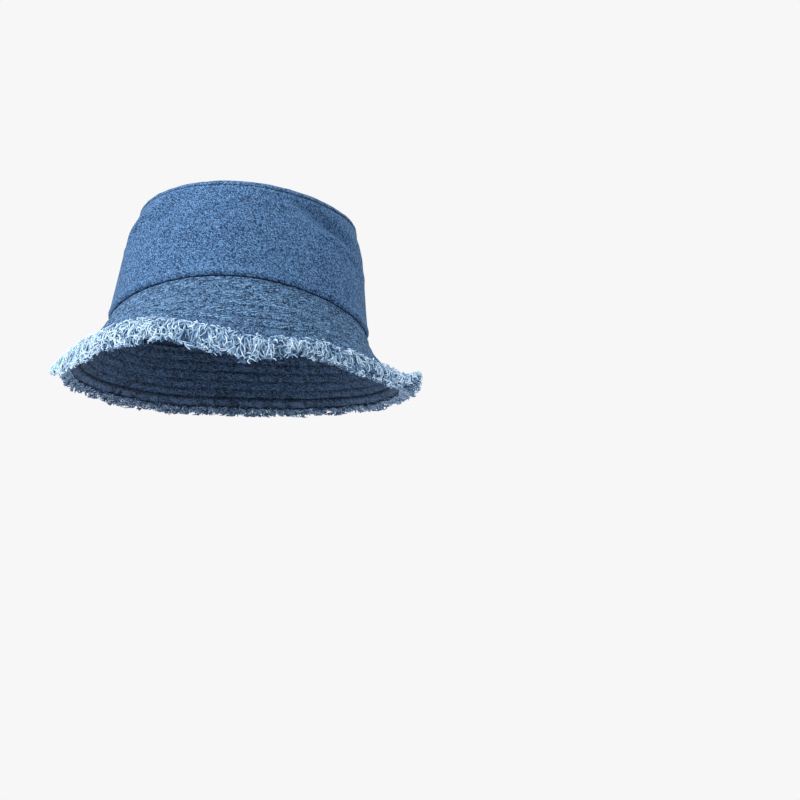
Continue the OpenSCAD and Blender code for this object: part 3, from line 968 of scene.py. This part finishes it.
def crown_side(half):
    start, end = HALVES[half]
    a = np.linspace(start + SEAM_GAP, end - SEAM_GAP, 300)[:, None]
    length = wall_length(a)
    # the rings of points lie closer at the rolled foot and under the top seam
    v = np.concatenate([np.linspace(0, 0.06, 8), np.linspace(0.06, 0.9, 50)[1:], np.linspace(0.9, 1, 14)[1:]])
    h = v[None] * length
    rise = wall_rise(a, h, length)
    outer, inner = wall(a, h, -rise), wall(a, h, CROWN_T)
    angles = np.linspace(LEAN, SEAM_AT, ROUND_STEPS)[1:]
    more_out, more_in, more_rise = [], [], []
    for b in angles:
        share = (b - LEAN) / (SEAM_AT - LEAN)
        lift = 0.45 * MM - 0.9 * MM * share ** 6 + 0.2 * MM * edge_pucker(a, 0.3 - share * 0.4)
        for store, radius in ((more_out, EDGE_R + lift), (more_in, EDGE_R - CROWN_T + 0 * lift)):
            r, z = FLAT_R + radius * math.cos(b), TOP_Z - EDGE_R + radius * math.sin(b)
            store.append(polar(r, a, z))
        more_rise.append(lift)
    outer = soften(np.concatenate([outer, *more_out], 1))
    inner = soften(np.concatenate([inner, *more_in], 1))
    all_rise = np.concatenate([np.broadcast_to(rise, h.shape), *more_rise], 1)
    arc = EDGE_R * (angles - LEAN)
    height = np.concatenate([h, length + arc[None]], 1)
    middle_r = (FOOT_R + TOP_R) / 2
    uv = pairs((a - start) * middle_r / MM, height / MM)
    # The cloth's rise pales worn ridges; then painted shade: a dark line in the pressed groove under the top
    # seam, deepest where the edge is pulled down, and another at the seam with the top panel.
    ridge = np.clip(all_rise / (0.9 * MM), -1, 1)
    ridge = ridge - 2.8 * top_groove(a, length - height) - 1.6 * bell(length + arc[-1] - height, 0.45 * MM)
    node = f"crown_side_{half}"
    # seam=-3.0 paints the wall's foot edge near-black: the painted shade line at the head seam.
    piece = shell(node, outer, inner, uv, [CROWN_DENIM, REVERSE_DENIM], ridge=ridge, seam=-3.0)
    stand_for(piece, node, "denim_crown")


def crown_top():
    """The round top panel: rings of points from the middle out and over the first part of the rounding."""
    round_count = 420
    a = (np.arange(round_count) * TURN / round_count)[:, None]
    fine = FLAT_R - 8 * MM  # the rings lie closer beyond this radius
    flat = np.concatenate([np.linspace(0.4 * MM, fine, 40), np.linspace(fine, FLAT_R, 12)[1:]])
    angles = np.linspace(math.pi / 2, SEAM_AT + 0.03, ROUND_STEPS)[1:]
    out_r = np.concatenate([flat, FLAT_R + EDGE_R * np.cos(angles)])
    out_z = np.concatenate([flat * 0 + TOP_Z, TOP_Z - EDGE_R + EDGE_R * np.sin(angles)])
    in_r = np.concatenate([flat, FLAT_R + (EDGE_R - CROWN_T) * np.cos(angles)])
    in_z = np.concatenate([flat * 0 + TOP_Z - CROWN_T, TOP_Z - EDGE_R + (EDGE_R - CROWN_T) * np.sin(angles)])
    from_seam = (out_r[-1] - out_r)[None]
    rise = (0.30 * MM / (1 + np.exp((from_seam - 6 * MM) / (0.6 * MM)))
            + 0.22 * MM * edge_pucker(a, 0.3 - from_seam / (9 * MM)) * bell(from_seam, 7 * MM)
            - 0.9 * MM * bell(from_seam, 0.7 * MM))
    fade = np.clip(out_r / (20 * MM), 0, 1)[None]
    outer = soften(polar(out_r[None], a, out_z[None] + rise * fade))
    inner = soften(polar(in_r[None], a, in_z[None]))
    nu, nv = outer.shape[:2]
    points = np.concatenate([outer.reshape(-1, 3), inner.reshape(-1, 3),
                             soften(np.array([[[0, 0, TOP_Z]], [[0, 0, TOP_Z - CROWN_T]]])).reshape(-1, 3)])
    over, under, _, rim = (quads[:, [0, 3, 2, 1]] for quads in net(nu, nv, nu))
    k, side, centre = np.arange(nu), nu * nv, 2 * nu * nv
    k2 = (k + 1) % nu
    tris = np.concatenate([np.stack([k * 0 + centre, k * nv, k2 * nv], 1),
                           np.stack([k * 0 + centre + 1, side + k2 * nv, side + k * nv], 1)])
    quads = np.concatenate([over, under, rim])
    index = np.concatenate([np.zeros(len(over)), np.ones(len(under)), np.zeros(len(rim)),
                            np.zeros(nu), np.ones(nu)]).astype(int)
    flat_uv = points[:, :2] / MM
    corner_uv = np.concatenate([flat_uv[quads].reshape(-1, 2), flat_uv[tris].reshape(-1, 2)])
    # The cloth's rise pales worn ridges; a painted shade line runs at the seam with the crown's wall.
    ridge = np.clip(rise / (0.9 * MM), -1, 1) - 1.0 * bell(from_seam, 0.45 * MM)
    ridge = np.concatenate([ridge.ravel(), np.zeros(nu * nv + 2)])
    piece = mesh_object("crown_top", points, quads, tris, [CROWN_DENIM, REVERSE_DENIM], index, corner_uv,
                        ridge=ridge)
    piece.data.set_sharp_from_angle(angle=SHARP)
    stand_for(piece, "crown_top", "denim_crown")


def wall_strip(node, slot, cloth, a, h0, h1, inset, thick, steps, closed=True, swell=0.0):
    """A band or tape on the inside of the wall, from h0 to h1 above the head seam."""
    a = a[:, None]
    v = np.linspace(0, 1, steps)[None]
    low, high = h0(a), h1(a)
    h = low + (high - low) * v
    rise = swell * np.sin(math.pi * v) ** 0.5
    rise = rise + 0.12 * MM * edge_pucker(a, 90 + 3 * v)
    outer, inner = soften(wall(a, h, inset)), soften(wall(a, h, inset + thick + rise))
    uv = pairs(a * TOP_R / MM, h / MM)
    stand_for(shell(node, inner, outer, uv, [cloth, cloth], closed=closed), node, slot)


for half in HALVES:
    crown_side(half)
crown_top()
ring = np.arange(480) * TURN / 480
wall_strip("sweatband", "sweatband_twill", BAND_CLOTH, ring, lambda a: 0.4 * MM + 0 * a,
           lambda a: BAND_H + 0 * a, BAND_INSET, BAND_T, 24, swell=0.4 * MM)
wall_strip("crown_seam_tape", "cotton_tape", TAPE_CLOTH, ring, lambda a: wall_length(a) - EDGE_R - TAPE_W,
           lambda a: wall_length(a) - EDGE_R, BAND_INSET, TAPE_T, 14, swell=0.5 * MM)
for name, at in (("left", 0.0), ("right", math.pi)):
    half_turn = TAPE_W / 2 / FOOT_R
    wall_strip(f"side_seam_tape_{name}", "cotton_tape", TAPE_CLOTH,
               np.linspace(at - half_turn, at + half_turn, 14), lambda a: 1 * MM + 0 * a,
               lambda a: wall_length(a) - EDGE_R, CROWN_T + TAPE_GAP, TAPE_T, 60, False, 0.3 * MM)


def crown_row_paths():
    def place(x, off, up):
        a = x / TOP_R
        length = wall_length(a)
        h = length - TOP_STITCH_AT + off
        return soften(wall(a, h, -(wall_rise(a, h, length) + up)))
    return stitch_row(place, TURN * TOP_R, 100)


def band_row_paths():
    def place(x, off, up):
        a = x / FOOT_R
        return soften(wall(a, 3.2 * MM + off, BAND_INSET + BAND_T + THREAD_OFF + up))
    return stitch_row(place, TURN * FOOT_R, 110)


def side_row_paths():
    made = []
    for at in (0.0, math.pi):
        for offset in (-TAPE_W / 3, TAPE_W / 3):
            base, top = BAND_H + 4 * MM, float(wall_length(at)) - EDGE_R - TAPE_W - 1 * MM
            def place(x, off, up):
                a = at + (offset + off) / TOP_R
                return soften(wall(a, base + x, CROWN_T + TAPE_GAP + TAPE_T + THREAD_OFF + up))
            made.append(stitch_row(place, top - base, 120 + len(made)))
    return np.concatenate(made)


stitches("crown_stitching", crown_row_paths(), THREAD_SHADED)
stitches("sweatband_stitching", band_row_paths(), THREAD_SHADED)
stitches("side_seam_stitching", side_row_paths(), THREAD_SHADED)


# ---- what each piece of cloth was cut to
def cuts():
    """Flat size, flat area, what it lies on and what is sewn to it, for every panel, from the pattern."""
    ring = lambda inner, outer: math.pi * math.cos(SLOPE) * (outer ** 2 - inner ** 2) / 2
    reach = BRIM_R / math.cos(SLOPE)
    across = 2 * (reach + BRIM_W) * math.sin(math.pi * math.cos(SLOPE) / 2)
    sag = reach + BRIM_W - reach * math.cos(math.pi * math.cos(SLOPE) / 2)
    height = TOP_Z + EDGE_R
    round_top, round_foot = TURN * TOP_R, TURN * FOOT_R
    top_side = 2 * (TOP_R + 1 * MM)
    made = {"crown_top": ((top_side, top_side), math.pi / 4 * top_side ** 2, "crown_side_front",
                          ["crown_stitching"]),
            "sweatband": ((BAND_H, round_foot - TURN * BAND_INSET), None, "crown_side_front",
                          ["sweatband_stitching"]),
            "crown_seam_tape": ((TAPE_W, round_top - TURN * BAND_INSET), None, "crown_top", [])}
    for end in ("left", "right"):
        made[f"side_seam_tape_{end}"] = ((TAPE_W, height - 2 * EDGE_R), None, "crown_side_front", [])
    for half in HALVES:
        made[f"crown_side_{half}"] = ((height, (round_top + round_foot) / 4), None, "sweatband",
                                      ["side_seam_stitching"] if half == "front" else [])
        for layer, sewn in (("top", ["brim_stitching_top"]), ("under", ["brim_stitching_under"])):
            made[f"brim_{layer}_{half}"] = ((sag, across), ring(reach, reach + BRIM_W), f"interlining_{half}",
                                            sewn if half == "front" else [])
        lining = ring(reach, reach + BRIM_W - 2 * MM)
        made[f"interlining_{half}"] = ((sag, across), lining, f"brim_under_{half}", [])
    for layer in ("top", "under"):
        made[f"edge_strip_{layer}"] = ((STRIP_CUT, TURN * EDGE_CIRCLE), None, f"brim_{layer}_front",
                                       [f"fringe_{layer}", f"strip_stitching_{layer}"])
    return made


for node, (flat, area, under, sewn) in cuts().items():
    [piece for name in sewn for piece in PIECES[name]]


# ---- stage, light and camera
LENS, SENSOR = 80, 36
DISTANCE = 1.29
OFF_AXIS = (-0.1164, 0.0557)            # the head opening's place beside the camera's axis: right and up
ELEVATION = -14.5 * DEG
ROLL = 2.4 * DEG


def axes_at(azimuth, elevation):
    """Right, up and back directions of a camera at an azimuth that is counted from -Y towards +X."""
    back = Vector((math.sin(azimuth) * math.cos(elevation), -math.cos(azimuth) * math.cos(elevation),
                   math.sin(elevation)))
    right = Vector((math.cos(azimuth), math.sin(azimuth), 0))
    return right, back.cross(right), back


def camera():
    right, up, back = axes_at(VIEW_AT + math.pi / 2, ELEVATION)
    right, up = (right * math.cos(ROLL) + up * math.sin(ROLL), up * math.cos(ROLL) - right * math.sin(ROLL))
    data = bpy.data.cameras.new("camera")
    data.lens, data.sensor_width = LENS, SENSOR
    data.clip_start, data.clip_end = 0.05, 50
    made = bpy.data.objects.new("camera", data)
    bpy.context.collection.objects.link(made)
    place = back * DISTANCE - right * OFF_AXIS[0] - up * OFF_AXIS[1]
    made.matrix_world = Matrix.Translation(place) @ Matrix((right, up, back)).transposed().to_4x4()
    bpy.context.scene.camera = made


def lamp(name, bearing, elevation, distance, size, watts, colour=(1, 1, 1)):
    """A soft panel aimed at the hat. bearing is measured from the camera's side, positive to its right."""
    right, up, back = axes_at(VIEW_AT + math.pi / 2 + bearing, elevation)
    data = bpy.data.lights.new(name, "AREA")
    data.shape, data.size, data.energy, data.color = "DISK", size, watts, colour
    made = bpy.data.objects.new(name, data)
    bpy.context.collection.objects.link(made)
    made.matrix_world = (Matrix.Translation(back * distance + Vector((0, 0, 0.02)))
                         @ Matrix((right, up, back)).transposed().to_4x4())


def floor():
    bpy.ops.mesh.primitive_circle_add(vertices=96, radius=40, fill_type="TRIFAN", location=(0, 0, -1.5))
    made = bpy.context.object
    made.name = "floor"
    n = Nodes("pale_floor")
    made.data.materials.append(n.finish((0.94, 0.94, 0.94, 1), None, 0, 0.9))


def surroundings():
    world = bpy.data.worlds.new("world")
    world.use_nodes = True
    world.node_tree.nodes["Background"].inputs["Color"].default_value = (0.93, 0.93, 0.93, 1)
    world.node_tree.nodes["Background"].inputs["Strength"].default_value = 1.0
    bpy.context.scene.world = world
    bpy.context.scene.view_settings.view_transform = "Standard"


camera()
floor()
surroundings()
lamp("key", -58 * DEG, 24 * DEG, 1.8, 1.0, 40)
lamp("fill", 40 * DEG, 66 * DEG, 2.2, 1.4, 26)
